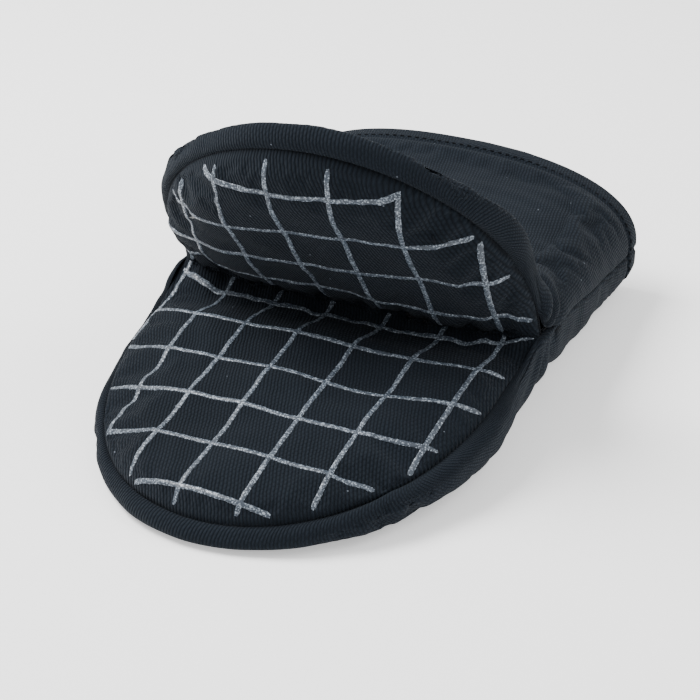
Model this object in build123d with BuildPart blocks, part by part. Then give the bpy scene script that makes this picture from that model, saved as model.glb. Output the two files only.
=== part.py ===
"""Pinch oven mitt: two padded lobes that fold on a cuff, lying on the finger lobe.

Millimetres, +Z up, origin at the middle of the underside. X runs across the mitt, the finger tip
points to -Y and the cuff opens to +Y. Each lobe is a wedge with a rounded tip: back cover, wadding
and lining, a pocket for the hand, then lining, wadding and the gripping palm panel. Its root is
round about the fold it turns on, so that it clears the cuff and the other lobe at every angle.
"""

import os
from collections import namedtuple
from math import asin, cos, degrees, hypot, radians, sin, sqrt

from build123d import *

# ---------------------------------------------------------------- driving dimensions

# layers, from outside to inside
fabric = 1.2             # twill cover
wadding = 4.0            # heat-proof filling
lining = 0.8             # cotton lining
ply_gap = 0.2            # air between two layers

# the two lobes
lobe_half_width = 72.0   # half the width of both lobes
finger_length = 111.0    # from its fold to its tip
finger_nose = 86.0       # length of its rounded end
finger_pocket = 15.2     # height of its pocket at the fold
finger_tip_pocket = 2.2  # height of its pocket at the tip
finger_fall = 4.0        # how far the middle of its palm falls below the fold
thumb_length = 82.0
thumb_nose = 68.0
thumb_pocket = 11.2
thumb_tip_pocket = 0.8
thumb_fall = 0.5
thumb_lean = 49.0        # degrees that the thumb lobe's back stands above the table
thumb_set_back = 8.0     # thumb fold behind the finger fold
rim_roll = 5.0           # rounding of the rims

# the cuff
cuff_half_width = 71.0
cuff_height = 48.0
cuff_side_height = 17.5  # height of the side seams
cuff_end = 111.0         # from the finger fold to the wrist opening
hem_width = 9.0
hem_round = 1.6

# seams, crease and silicone
seam_gap = 1.0           # slot between two covers that a seam's thread lies in
seam_rise = 0.25         # height of the rim seam above the fold, as a share of the root's radius
thread_width = 0.8
crease_radius = 2.2      # folded strip of palm panel between the two lobes
grid_pitch = 20.0
grid_line = 2.2          # width of a silicone line
grid_height = 0.6
grid_margin = 2.0        # from the grid's ends to the rounding of the rim

# clearances
turn_gap = 0.7           # between parts that turn past each other
open_gap = 0.8           # between a lobe's round root and the cuff
overrun = 1.0            # how far a cutting block runs past what it cuts

# ---------------------------------------------------------------- sizes that follow

stack = fabric + wadding + lining + 2 * ply_gap
finger_radius = stack + finger_pocket / 2
thumb_radius = stack + thumb_pocket / 2
thumb_rise = sqrt((finger_radius + thumb_radius + turn_gap) ** 2 - thumb_set_back**2)
finger_fold = (0, finger_radius)
thumb_fold = (thumb_set_back, finger_radius + thumb_rise)
width_cut = 4 * lobe_half_width  # wider than anything it cuts
deep = 3 * cuff_end              # longer than anything it cuts

Lobe = namedtuple("Lobe", "plane radius length nose tip_height fall")

finger_plane = Plane(origin=(0, *finger_fold), x_dir=(-1, 0, 0), z_dir=(0, 0, 1))
thumb_plane = Plane(
    origin=(0, *thumb_fold),
    x_dir=(1, 0, 0),
    z_dir=(0, -sin(radians(thumb_lean)), -cos(radians(thumb_lean))),
)
finger = Lobe(
    finger_plane, finger_radius, finger_length, finger_nose, 2 * stack + finger_tip_pocket, finger_fall
)
thumb = Lobe(thumb_plane, thumb_radius, thumb_length, thumb_nose, 2 * stack + thumb_tip_pocket, thumb_fall)


def side_plane(lobe):
    """The lobe's own side view: its length to the right, its palm side up."""
    return Plane(origin=lobe.plane.origin, x_dir=lobe.plane.y_dir, z_dir=lobe.plane.x_dir)


# ---------------------------------------------------------------- heights across a lobe
# Each line is three heights above the fold: behind the root, at the middle and at the tip.


def palm_line(lobe, depth):
    """Line at a depth below the palm surface."""
    return (lobe.radius - depth, lobe.radius - lobe.fall - depth, lobe.tip_height - lobe.radius - depth)


def back_line(lobe, depth):
    """Line at a depth inside the back surface."""
    return (depth - lobe.radius,) * 3


def seam_line(lobe, shift):
    """The rim seam, between the back cover and the palm panel."""
    root = lobe.radius * seam_rise
    tip = lobe.tip_height / 2 - lobe.radius
    return (root + shift, (root + tip) / 2 + shift, tip + shift)


# ---------------------------------------------------------------- shapes


def lobe_block(lobe, side, low, high, reach=0.0, roll=0.0):
    """The space between two lines, inside the lobe's outline less a side inset."""
    across = lobe_half_width - side
    nose_start = lobe.length - lobe.nose
    root = -lobe.radius - reach
    past_root = -lobe.radius - 2 * stack
    past_tip = lobe.length + stack
    middle = (lobe.length - lobe.radius) / 2
    with BuildPart() as block:
        with BuildSketch(lobe.plane.offset(-2 * lobe.radius)):
            with BuildLine():
                EllipticalCenterArc((0, nose_start), across, lobe.nose - side, start_angle=0, arc_size=180)
                Polyline((-across, nose_start), (-across, root), (across, root), (across, nose_start))
            make_face()
        extrude(amount=4 * lobe.radius)
        with BuildSketch(side_plane(lobe)):
            with BuildLine():
                Bezier((past_root, low[0]), (middle, low[1]), (past_tip, low[2]))
                Line((past_tip, low[2]), (past_tip, high[2]))
                Bezier((past_tip, high[2]), (middle, high[1]), (past_root, high[0]))
                Line((past_root, high[0]), (past_root, low[0]))
            make_face()
        extrude(amount=width_cut, both=True, mode=Mode.INTERSECT)
        if roll > 0:
            upward = Axis(lobe.plane.origin, lobe.plane.z_dir)
            along = Axis(lobe.plane.origin, lobe.plane.y_dir)
            fillet(block.faces().sort_by(upward)[0].edges().sort_by(along)[1:], roll)
            fillet(block.faces().sort_by(upward)[-1].edges().sort_by(along)[1:], roll)
    return block.part


def lobe_root(lobe):
    """Everything in front of the fold, and a half round behind it: it rounds off the root."""
    with BuildPart() as root:
        with BuildSketch(side_plane(lobe)):
            Circle(lobe.radius)
            with Locations((deep / 2, 0)):
                Rectangle(deep, 6 * lobe.radius)
        extrude(amount=width_cut, both=True)
    return root.part


def rim_side(lobe, low, high):
    """A slice of the whole lobe between two lines, wider than the lobe: it picks one cover."""
    return lobe_block(lobe, -stack, low, high, reach=2 * stack)


def cuff_block(depth, start, end):
    """The cuff's D-shaped tube, filled, less a depth all round."""
    flat = cuff_half_width - cuff_side_height
    with BuildPart() as block:
        with BuildSketch(Plane.XZ.offset(-start)):
            with BuildLine():
                Line((-flat, 0), (flat, 0))
                CenterArc((flat, cuff_side_height), cuff_side_height, -90, 90)
                ThreePointArc(
                    (cuff_half_width, cuff_side_height), (0, cuff_height), (-cuff_half_width, cuff_side_height)
                )
                CenterArc((-flat, cuff_side_height), cuff_side_height, 180, 90)
            make_face()
            if depth > 0:
                offset(amount=-depth, kind=Kind.INTERSECTION)
        extrude(amount=start - end)
    return block.part


def slab(low, high):
    """A level slice through everything."""
    with BuildPart() as level:
        with BuildSketch(Plane.XY.offset(low)):
            Rectangle(width_cut, 2 * deep)
        extrude(amount=high - low)
    return level.part


def turning_room():
    """The space that both lobes' roots sweep, which the cuff stays out of."""
    with BuildPart() as room:
        with BuildSketch(Plane.YZ):
            with Locations(finger_fold):
                Circle(finger_radius + open_gap)
            with Locations((-deep / 2, 0)):
                Rectangle(deep, deep)
            with Locations(thumb_fold):
                Circle(thumb_radius + open_gap)
            with BuildLine():
                Polyline((-deep, 0), finger_fold, thumb_fold, (-deep, thumb_fold[1]), close=True)
            make_face()
            reach_back = thumb_set_back + thumb_radius + open_gap
            with Locations((reach_back - deep / 2, thumb_fold[1] + deep / 2)):
                Rectangle(deep, deep)
        extrude(amount=width_cut, both=True)
    return room.part


def save(builder, name):
    builder.part.label = name
    export_step(builder.part, f"parts/{name}.step")
    print(f"{name}: {len(builder.part.solids())} solid, {builder.part.volume:.0f} mm3")


os.makedirs("parts", exist_ok=True)

# ---------------------------------------------------------------- the two lobes

inside = fabric + ply_gap                    # depth of the wadding
lining_depth = inside + wadding + ply_gap

for lobe_name, lobe in (("finger", finger), ("thumb", thumb)):
    root = lobe_root(lobe)
    outer = lobe_block(lobe, 0, back_line(lobe, 0), palm_line(lobe, 0), roll=rim_roll)
    hollow = lobe_block(
        lobe, fabric, back_line(lobe, fabric), palm_line(lobe, fabric), reach=overrun, roll=rim_roll - fabric
    )

    # back cover: the outside of the lobe, up and over the rim to the seam
    below_seam = rim_side(lobe, back_line(lobe, -stack), seam_line(lobe, -seam_gap / 2))
    with BuildPart() as back_panel:
        add(outer)
        add(hollow, mode=Mode.SUBTRACT)
        add(below_seam, mode=Mode.INTERSECT)
        add(root, mode=Mode.INTERSECT)
    save(back_panel, f"{lobe_name}_back_panel")

    # palm panel: the gripping face, down over the rim to the seam
    above_seam = rim_side(lobe, seam_line(lobe, seam_gap / 2), palm_line(lobe, -stack))
    with BuildPart() as palm_panel:
        add(outer)
        add(hollow, mode=Mode.SUBTRACT)
        add(above_seam, mode=Mode.INTERSECT)
        add(root, mode=Mode.INTERSECT)
    save(palm_panel, f"{lobe_name}_palm_panel")

    # thread of the rim seam, in the slot between the two covers
    thread_low = seam_line(lobe, -seam_gap / 2 + ply_gap)
    thread_high = seam_line(lobe, seam_gap / 2 - ply_gap)
    thread_outside = lobe_block(lobe, ply_gap, thread_low, thread_high)
    thread_inside = lobe_block(
        lobe, ply_gap + thread_width, seam_line(lobe, -stack), seam_line(lobe, stack), reach=overrun
    )
    with BuildPart() as rim_seam:
        add(thread_outside)
        add(thread_inside, mode=Mode.SUBTRACT)
        add(root, mode=Mode.INTERSECT)
    save(rim_seam, f"{lobe_name}_rim_seam")

    # wadding behind each cover, rounded with the rim
    filling = lobe_block(
        lobe, inside, back_line(lobe, inside), palm_line(lobe, inside), roll=rim_roll - inside
    )
    back_side = rim_side(lobe, back_line(lobe, -stack), back_line(lobe, inside + wadding))
    palm_side = rim_side(lobe, palm_line(lobe, inside + wadding), palm_line(lobe, -stack))
    for side_name, kept_side in (("back", back_side), ("palm", palm_side)):
        with BuildPart() as wadding_sheet:
            add(filling)
            add(kept_side, mode=Mode.INTERSECT)
            add(root, mode=Mode.INTERSECT)
        save(wadding_sheet, f"{lobe_name}_{side_name}_wadding")

    # lining on the inside of each wadding
    back_sheet = lobe_block(
        lobe, inside, back_line(lobe, lining_depth), back_line(lobe, lining_depth + lining)
    )
    palm_sheet = lobe_block(
        lobe, inside, palm_line(lobe, lining_depth + lining), palm_line(lobe, lining_depth)
    )
    for side_name, sheet in (("back", back_sheet), ("palm", palm_sheet)):
        with BuildPart() as lining_sheet:
            add(sheet)
            add(root, mode=Mode.INTERSECT)
        save(lining_sheet, f"{lobe_name}_{side_name}_lining")

    # silicone grid, printed on the palm panel short of the rim's rounding
    printed = lobe_block(
        lobe, rim_roll + grid_margin, palm_line(lobe, 0), palm_line(lobe, -grid_height), reach=-lobe.radius
    )
    lines_across = int((lobe_half_width - rim_roll - grid_margin) // grid_pitch)
    lines_along = int((lobe.length - rim_roll - grid_margin) // grid_pitch)
    with BuildPart() as silicone_grid:
        with BuildSketch(lobe.plane):
            with GridLocations(grid_pitch, 1, 2 * lines_across + 1, 1):
                Rectangle(grid_line, 2 * deep)
            with Locations([(0, (row + 0.5) * grid_pitch) for row in range(lines_along)]):
                Rectangle(width_cut, grid_line)
        extrude(amount=2 * lobe.radius, both=True)
        add(printed, mode=Mode.INTERSECT)
    save(silicone_grid, f"{lobe_name}_silicone_grid")

# ---------------------------------------------------------------- the cuff

room = turning_room()
hem_start = cuff_end - hem_width
tube_end = hem_start - seam_gap
tubes = (
    ("panel", 0, fabric),
    ("wadding", inside, inside + wadding),
    ("lining", lining_depth, lining_depth + lining),
)
halves = (
    ("bottom", slab(-stack, cuff_side_height - seam_gap / 2)),
    ("top", slab(cuff_side_height + seam_gap / 2, 2 * cuff_height)),
)
for layer_name, outer_depth, inner_depth in tubes:
    tube_outside = cuff_block(outer_depth, 0, tube_end)
    tube_inside = cuff_block(inner_depth, -overrun, tube_end + overrun)
    for half_name, half in halves:
        with BuildPart() as cuff_layer:
            add(tube_outside)
            add(tube_inside, mode=Mode.SUBTRACT)
            add(half, mode=Mode.INTERSECT)
            add(room, mode=Mode.SUBTRACT)
        save(cuff_layer, f"cuff_{half_name}_{layer_name}")

# folded hem round the wrist opening
hem_outside = cuff_block(0, hem_start, cuff_end)
hem_inside = cuff_block(stack, hem_start - overrun, cuff_end + overrun)
with BuildPart() as cuff_hem:
    add(hem_outside)
    add(hem_inside, mode=Mode.SUBTRACT)
    end_face = cuff_hem.faces().sort_by(Axis.Y)[-1]
    fillet(end_face.outer_wire().edges(), hem_round)
save(cuff_hem, "cuff_hem")

# thread round the hem, in the slot between the hem and the tube
thread_ring = cuff_block(ply_gap, tube_end + ply_gap, hem_start - ply_gap)
thread_core = cuff_block(ply_gap + thread_width, tube_end - overrun, hem_start + overrun)
with BuildPart() as cuff_hem_stitching:
    add(thread_ring)
    add(thread_core, mode=Mode.SUBTRACT)
save(cuff_hem_stitching, "cuff_hem_stitching")

# side seams, from the corners of the mouth to the hem
seam_tube = cuff_block(ply_gap, 0, tube_end)
seam_core = cuff_block(ply_gap + thread_width, -overrun, tube_end + overrun)
seam_slot = slab(cuff_side_height - seam_gap / 2 + ply_gap, cuff_side_height + seam_gap / 2 - ply_gap)
for side_name, kept in (("left", Keep.BOTTOM), ("right", Keep.TOP)):
    with BuildPart() as side_seam:
        add(seam_tube)
        add(seam_core, mode=Mode.SUBTRACT)
        add(seam_slot, mode=Mode.INTERSECT)
        add(room, mode=Mode.SUBTRACT)
        split(bisect_by=Plane.YZ, keep=kept)
    save(side_seam, f"{side_name}_side_seam")

# folded strip of the palm panel that bridges the two lobes, behind their roots
to_finger = finger_radius + crease_radius + turn_gap
to_thumb = thumb_radius + crease_radius + turn_gap
between = hypot(thumb_set_back, thumb_rise)
up_share = (to_finger**2 - to_thumb**2 + between**2) / (2 * between)
behind = sqrt(to_finger**2 - up_share**2)
tilt = asin(thumb_set_back / between)
crease_place = (
    finger_fold[0] + up_share * sin(tilt) + behind * cos(tilt),
    finger_fold[1] + up_share * cos(tilt) - behind * sin(tilt),
)
arch_rise = cuff_height - cuff_side_height
arch_radius = (cuff_half_width**2 + arch_rise**2) / (2 * arch_rise)
crease_top = crease_place[1] + crease_radius + arch_radius - cuff_height  # above the arch's centre
crease_half = sqrt((arch_radius - stack) ** 2 - crease_top**2) - turn_gap
with BuildPart() as palm_crease_fold:
    with BuildSketch(Plane.YZ):
        with Locations(crease_place):
            Circle(crease_radius)
    extrude(amount=crease_half, both=True)
    fillet(palm_crease_fold.edges(), crease_radius / 2)
save(palm_crease_fold, "palm_crease_fold")

print(f"finger fold at y {finger_fold[0]:.2f}, z {finger_fold[1]:.2f}")
print(f"thumb fold at y {thumb_fold[0]:.2f}, z {thumb_fold[1]:.2f}")
print(f"crease fold at y {crease_place[0]:.2f}, z {crease_place[1]:.2f}, tilt {degrees(tilt):.1f}")
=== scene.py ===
import bmesh
import bpy
import numpy as np
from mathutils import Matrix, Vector


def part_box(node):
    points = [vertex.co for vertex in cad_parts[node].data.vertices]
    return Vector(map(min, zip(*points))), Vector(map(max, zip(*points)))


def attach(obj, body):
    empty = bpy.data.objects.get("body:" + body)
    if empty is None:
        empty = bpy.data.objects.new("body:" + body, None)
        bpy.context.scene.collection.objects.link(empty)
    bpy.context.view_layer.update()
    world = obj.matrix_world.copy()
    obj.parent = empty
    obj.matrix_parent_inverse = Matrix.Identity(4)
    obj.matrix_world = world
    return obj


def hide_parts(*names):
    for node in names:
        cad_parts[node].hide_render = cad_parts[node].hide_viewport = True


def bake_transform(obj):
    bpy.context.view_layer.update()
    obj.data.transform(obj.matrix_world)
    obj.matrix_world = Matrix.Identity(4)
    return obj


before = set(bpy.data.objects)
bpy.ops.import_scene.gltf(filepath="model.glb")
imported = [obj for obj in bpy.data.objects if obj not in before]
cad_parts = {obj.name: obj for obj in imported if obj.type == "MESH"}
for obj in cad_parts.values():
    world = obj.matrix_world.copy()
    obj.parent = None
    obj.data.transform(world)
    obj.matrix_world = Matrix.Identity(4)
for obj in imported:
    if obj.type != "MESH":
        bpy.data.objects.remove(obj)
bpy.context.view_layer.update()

mm = 0.001
print("frame loaded")

# places taken from the cad pieces, in millimetres


def boxMm(node):
    low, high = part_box(node)
    return np.array(low) / mm, np.array(high) / mm


halfWidth = boxMm("finger_back_panel")[1][0]
cuffEnd = boxMm("cuff_hem")[1][1]
cuffTop = boxMm("cuff_hem")[1][2]
endGap = 1.5  # the cuff surfaces stop this far inside the hem's end

mouth = {
    "cornerX": halfWidth - 6.0,
    "skew": 4.5,
    "cornerY": 10.0,
    "cornerZ": 29.5,
    "creaseY": 3.0,
    "creaseZ": 30.5,
}
fingerLobe = {
    "originY": 9.0,
    "originZ": 28.5,
    "fall": 10.8,
    "length": 114.5,
    "width": 65.0,
    "nose": 84.0,
    "drift": 0.0,
    "skew": 5.0,
    "leftDrop": 5.0,
    "yaw": 0.0,
    "crown": 7.4,
    "crownEdge": 24.0,
    "crownPower": 0.46,
    "rollOut": 3.6,
    "rollDown": 3.6,
    "side": 1.0,
}
thumbLobe = {
    "originY": 12.5,
    "originZ": 32.0,
    "fall": -53.1,
    "length": 87.0,
    "width": 63.5,
    "nose": 76.0,
    "drift": 0.0,
    "skew": 6.5,
    "leftDrop": 1.0,
    "bow": 6.0,
    "yaw": 0.075,
    "crown": 12.0,
    "crownEdge": 30.0,
    "crownPower": 0.54,
    "rollOut": 3.9,
    "rollDown": 5.2,
    "side": -1.0,
}
cuff = {
    "endSideX": 68.0,
    "endSideZ": 17.5,
    "hemWidth": 9.0,
    "hemLift": 0.9,
}
fabric = 1.2
wadding = 4.0
lining = 0.8

# small maths used by every surface


def smooth(t):
    # 3tt - 2ttt, held at 0 and 1 outside the range
    t = np.clip(t, 0.0, 1.0)
    return t * t * (3.0 - 2.0 * t)


def through(stations, values, t):
    # a smooth line through given values: cubics whose slopes are the chords beside each station
    stations = np.asarray(stations, float)
    values = np.asarray(values, float)
    slopes = np.gradient(values, stations)
    t = np.clip(np.asarray(t, float), stations[0], stations[-1])
    left = np.clip(np.searchsorted(stations, t, side="right") - 1, 0, len(stations) - 2)
    span = stations[left + 1] - stations[left]
    u = (t - stations[left]) / span
    return (
        values[left] * (2 * u**3 - 3 * u**2 + 1)
        + slopes[left] * span * (u**3 - 2 * u**2 + u)
        + values[left + 1] * (3 * u**2 - 2 * u**3)
        + slopes[left + 1] * span * (u**3 - u**2)
    )


def unit(vectors):
    return vectors / np.maximum(np.linalg.norm(vectors, axis=-1, keepdims=True), 1e-9)


def ripple(points, size, seed):
    # a smooth random field: the mean of 40 sine waves, each of a seeded direction and a length near size
    rng = np.random.default_rng(seed)
    directions = unit(rng.normal(size=(40, points.shape[-1])))
    lengths = size * rng.uniform(0.6, 1.6, 40)
    phases = rng.uniform(0, 2 * np.pi, 40)
    waves = np.sin(points @ (directions / lengths[:, None]).T * 2 * np.pi + phases)
    return waves.sum(-1) / np.sqrt(20.0)


def squareToDisc(a, b):
    # the elliptical map: a square's edge becomes the circle, and its lines stay smooth
    return a * np.sqrt(1 - b * b / 2), b * np.sqrt(1 - a * a / 2)


def discToSquare(across, along):
    # the elliptical map backwards
    root = np.sqrt(2.0)
    gap = across**2 - along**2

    def halfSum(value, spread):
        return 0.5 * np.sqrt(np.maximum(2 + spread + 2 * root * value, 0))

    a = halfSum(across, gap) - halfSum(-across, gap)
    b = halfSum(along, -gap) - halfSum(-along, -gap)
    return np.clip(a, -1, 1), np.clip(b, 0, 1)


def domeProfile(t, squareness):
    # a quarter superellipse: out = sin^(2/q), up = cos^(2/q), with the steps spread evenly
    angle = 0.5 * np.pi * np.clip(t, 0, 1) ** (squareness * 0.45)
    return np.sin(angle) ** (2 / squareness), np.cos(angle) ** (2 / squareness)


# a lobe: a flat plane through its rim, an outline on it, and a crowned palm


def lobeAxes(lobe):
    # the line of the rim towards the tip, and the way out of the palm
    fall = np.radians(lobe["fall"])
    along = np.array([0.0, -np.cos(fall), -np.sin(fall)])
    outward = np.array([0.0, -np.sin(fall), np.cos(fall)]) * lobe["side"]
    return along, outward


def lobeWidth(lobe, s, grow=0.0):
    # straight sides that run into an elliptical nose, a little wider at the corner of the mouth
    length = lobe["length"] + grow
    nose = lobe["nose"] + grow
    past = np.clip((s - (length - nose)) / nose, 0.0, 1.0)
    corner = (mouth["cornerX"] - lobe["width"]) * (1 - smooth(s / 34.0))
    return (lobe["width"] + grow) * np.sqrt(1 - past**2) + corner


def lobeSkew(lobe, s):
    # the nose leans a little to one side
    return mouth["skew"] + (lobe["skew"] - mouth["skew"]) * smooth(s / 100.0)


def lobeFlat(lobe, across, along, grow=0.0):
    # disc coordinates to the flat plane: x over the local half width, s over the length
    s = (lobe["length"] + grow) * along
    share = np.clip(across / np.sqrt(np.maximum(1 - along**2, 1e-9)), -1, 1)
    return share * lobeWidth(lobe, s, grow) + lobeSkew(lobe, s), s


def lobePlace(lobe, x, s, n):
    # flat plane coordinates and a height over it, to space
    along, outward = lobeAxes(lobe)
    origin = np.array([0.0, lobe["originY"], lobe["originZ"]])
    height = n - lobe["yaw"] * x * smooth(s / 40.0) - lobe["leftDrop"] * smooth(-x / 60.0) * smooth(s / 30.0)
    place = origin + s[..., None] * along + height[..., None] * outward
    place[..., 0] += x + lobe["drift"] * smooth(s / 40.0)
    return place


def creaseLine(x):
    # the innermost line of the folded palm, set back at both corners of the mouth
    share = np.clip(np.abs(x - mouth["skew"]) / mouth["cornerX"], 0, 1)
    reach = np.sqrt(1 - share**2.5)
    y = mouth["cornerY"] + (mouth["creaseY"] - mouth["cornerY"]) * reach
    z = mouth["cornerZ"] + (mouth["creaseZ"] - mouth["cornerZ"]) * reach
    return np.stack([x, y, z], -1)


def palmHeight(lobe, x, s):
    # rises steeply off the rim seam and levels out: crown (1 - (1 - d/edge)^2)^power, d from the seam
    width = lobeWidth(lobe, s)
    tip = lobe["length"] - s
    offset = np.abs(x - lobeSkew(lobe, s))
    toSide = width - offset
    fallOff = np.sqrt(np.clip(1 - offset / np.maximum(width, 1e-6), 0, 1))
    near = np.minimum(toSide, tip * np.maximum(fallOff, 0.3) * 1.2)
    edge = np.clip(near / lobe["crownEdge"], 0, 1)
    roll = (1 - (1 - edge) ** 2) ** lobe["crownPower"]
    if lobe["side"] > 0:
        return lobe["crown"] * roll * smooth((s - 9.0) / 24.0) - 0.8 * roll
    return lobe["crown"] * roll * (0.72 + 0.28 * smooth(s / 34.0))


def palmPoint(lobe, x, s):
    # the palm over the rim plane, drawn into the crease over its first 15 mm
    base = lobePlace(lobe, x, s, palmHeight(lobe, x, s))
    share = smooth(s / 15.0)[..., None]
    place = creaseLine(x) * (1 - share) + base * share
    # small gathers that run out of the crease
    gather = np.sin(x * 0.37 + 1.3 * np.sin(x * 0.11) + 0.5) + 0.6 * np.sin(x * 0.83 + 2.0)
    fade = np.exp(-((s / 13.0) ** 2)) * smooth((mouth["cornerX"] - np.abs(x - mouth["skew"])) / 14.0)
    along, outward = lobeAxes(lobe)
    place = place + (0.75 * gather * fade)[..., None] * outward
    return place


def seamLine(lobe, angle):
    # the rim seam at an angle round the outline, 0 at the right corner and pi at the left
    x, s = lobeFlat(lobe, np.cos(angle), np.sin(angle))
    return palmPoint(lobe, x, s), x, s


def edgeHold(rows, columns, width, rootHeld, still=0.0):
    # 1 on the sewn edges and for still cells beside them, and 0 from width cells further in
    column, row = np.arange(columns)[None, :], np.arange(rows)[:, None]
    near = np.minimum(np.minimum(column, columns - 1 - column), rows - 1 - row)
    if rootHeld:
        near = np.minimum(near, row)
    return 1 - smooth((near - still) / width)


# grids


def discGrid(columns, rows):
    a, b = np.meshgrid(np.linspace(-1, 1, columns), np.linspace(0, 1, rows))
    return squareToDisc(a, b)


def gridNormals(points):
    return unit(np.cross(np.gradient(points, axis=1), np.gradient(points, axis=0)))


def gridFaces(rows, columns, start=0):
    cell = np.arange(rows - 1)[:, None] * columns + np.arange(columns - 1)[None, :] + start
    return np.stack([cell, cell + 1, cell + columns + 1, cell + columns], -1).reshape(-1, 4)


def turnOutward(mesh):
    work = bmesh.new()
    work.from_mesh(mesh)
    bmesh.ops.recalc_face_normals(work, faces=work.faces)
    work.to_mesh(mesh)
    work.free()


def makeMesh(name, points, faces, uv):
    # points in millimetres to a smooth closed mesh, with the flat pattern as its uv map in metres
    mesh = bpy.data.meshes.new(name)
    faces = faces.tolist() if isinstance(faces, np.ndarray) else faces
    mesh.from_pydata((points.reshape(-1, 3) * mm).tolist(), [], faces)
    turnOutward(mesh)
    layer = mesh.uv_layers.new(name="pattern")
    corners = np.zeros(len(mesh.loops), np.int32)
    mesh.loops.foreach_get("vertex_index", corners)
    layer.data.foreach_set("uv", (uv.reshape(-1, 2)[corners] * mm).astype(np.float32).ravel())
    mesh.polygons.foreach_set("use_smooth", np.ones(len(mesh.polygons), bool))
    piece = bpy.data.objects.new(name, mesh)
    bpy.context.scene.collection.objects.link(piece)
    return piece


def makeShell(name, outer, inner, uv):
    # two grids of the same size, joined round their edges into one closed skin
    rows, columns = outer.shape[:2]
    count = rows * columns
    top = gridFaces(rows, columns)
    bottom = gridFaces(rows, columns, count)[:, ::-1]
    index = np.arange(count).reshape(rows, columns)
    rim = np.concatenate([index[0, :-1], index[:-1, -1], index[-1, :0:-1], index[:0:-1, 0]])
    following = np.roll(rim, -1)
    wall = np.stack([following, rim, rim + count, following + count], -1)
    faces = np.concatenate([top, bottom, wall])
    points = np.concatenate([outer.reshape(-1, 3), inner.reshape(-1, 3)])
    return makeMesh(name, points, faces, np.concatenate([uv.reshape(-1, 2)] * 2))


def makeTube(name, path, radius, sides=8, closed=False):
    # a round section carried along a path: centre + r (cos t side + sin t up)
    ahead = unit(np.roll(path, -1, 0) - np.roll(path, 1, 0)) if closed else unit(np.gradient(path, axis=0))
    reference = np.array([0.0, 0.35, 1.0])
    side = unit(np.cross(ahead, reference))
    up = np.cross(side, ahead)
    turn = np.linspace(0, 2 * np.pi, sides, endpoint=False)
    ring = np.cos(turn)[None, :, None] * side[:, None] + np.sin(turn)[None, :, None] * up[:, None]
    radius = np.broadcast_to(radius, (len(path),))
    points = path[:, None] + radius[:, None, None] * ring
    count = len(path)
    rows = np.arange(count if closed else count - 1)
    cols = np.arange(sides)
    i, j = np.meshgrid(rows, cols, indexing="ij")
    k, m = (i + 1) % count, (j + 1) % sides
    faces = np.stack([i * sides + j, i * sides + m, k * sides + m, k * sides + j], -1).reshape(-1, 4)
    faces = faces.tolist()
    if not closed:
        faces.append(list(range(sides))[::-1])
        faces.append([(count - 1) * sides + j for j in range(sides)])
    length = np.concatenate([[0], np.cumsum(np.linalg.norm(np.diff(path, axis=0), axis=1))])
    return makeMesh(name, points, faces, np.stack(np.broadcast_arrays(length[:, None], turn[None, :]), -1))


# the palm

palmGrid = {"columns": 171, "rows": 121}


def palmSurface(lobe, shrink=1.0, start=0.0):
    across, along = discGrid(palmGrid["columns"], palmGrid["rows"])
    x, s = lobeFlat(lobe, across * shrink, start + (shrink - start) * along)
    points = palmPoint(lobe, x, s)
    pattern = np.stack([x, -s * lobe["side"]], -1)
    # a soft unevenness where the filling lies thick and thin, and tiny gathers along the seam
    normals = palmNormals(lobe, points)
    radius = np.sqrt(across**2 + along**2)
    middle = smooth((1 - radius) / 0.12)
    waves = 0.5 * ripple(points, 38.0, 3) + 0.2 * ripple(points, 13.0, 8)
    angle = np.arctan2(along, across)
    tuck = np.sin(angle * lobe["length"] / 3.1 + 2.0 * np.sin(angle * 7))
    tuck = tuck * np.exp(-(((radius - 0.95) / 0.035) ** 2))
    return points + normals * (waves * middle + 0.16 * tuck)[..., None], pattern


def palmNormals(lobe, points):
    # turned to face out of the palm
    normals = gridNormals(points)
    outward = lobeAxes(lobe)[1]
    return normals * np.sign((normals @ outward).mean())


# the covers


def coverRoll(lobe, s, x):
    # how far the cover stands out past the seam and how far below it, less at the corner of the mouth
    grown = smooth(s / 45.0)
    out = 1.0 + (lobe["rollOut"] * (1 - 0.55 * smooth(-x / 60.0)) - 1.0) * grown
    down = 1.5 + (lobe["rollDown"] - 1.5) * grown
    return out, down


rollShare = 0.8


def fingerCover(across, along, inset=0.0):
    # dome to the widest line, then a quarter turn up to the seam
    lobe = fingerLobe
    radius = np.sqrt(across**2 + along**2)
    ux, us = across / np.maximum(radius, 1e-9), along / np.maximum(radius, 1e-9)
    rimX, rimS = lobeFlat(lobe, ux, us)
    rim = palmPoint(lobe, rimX, rimS)
    out, down = coverRoll(lobe, rimS, rimX)
    out = out - inset
    share, lift = domeProfile(radius / rollShare, 3.6)
    turn = np.clip((radius - rollShare) / (1 - rollShare), 0, 1) * 0.5 * np.pi
    grow = out * np.cos(turn)
    x, s = lobeFlat(lobe, ux * share, us * share, grow)
    x = np.where(radius > rollShare, lobeFlat(lobe, ux, us, grow)[0], x)
    s = np.where(radius > rollShare, lobeFlat(lobe, ux, us, grow)[1], s)
    place = lobePlace(lobe, x, s, 0 * x)
    widest = rim[..., 2] - down
    z = np.where(
        radius > rollShare,
        widest + (down - 0.3) * np.sin(turn),
        inset + (widest - inset) * (1 - lift),
    )
    place[..., 2] = z
    return place


def thumbDepth(s):
    # the back of the thumb lobe below its rim plane, deeper where it turns into the cuff
    return through([0.0, 3.5, 6.8, 10.5, 20.0, 55.0, 100.0], [26.5, 21.5, 17.0, 14.2, 12.6, 12.4, 11.4], s)


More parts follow.
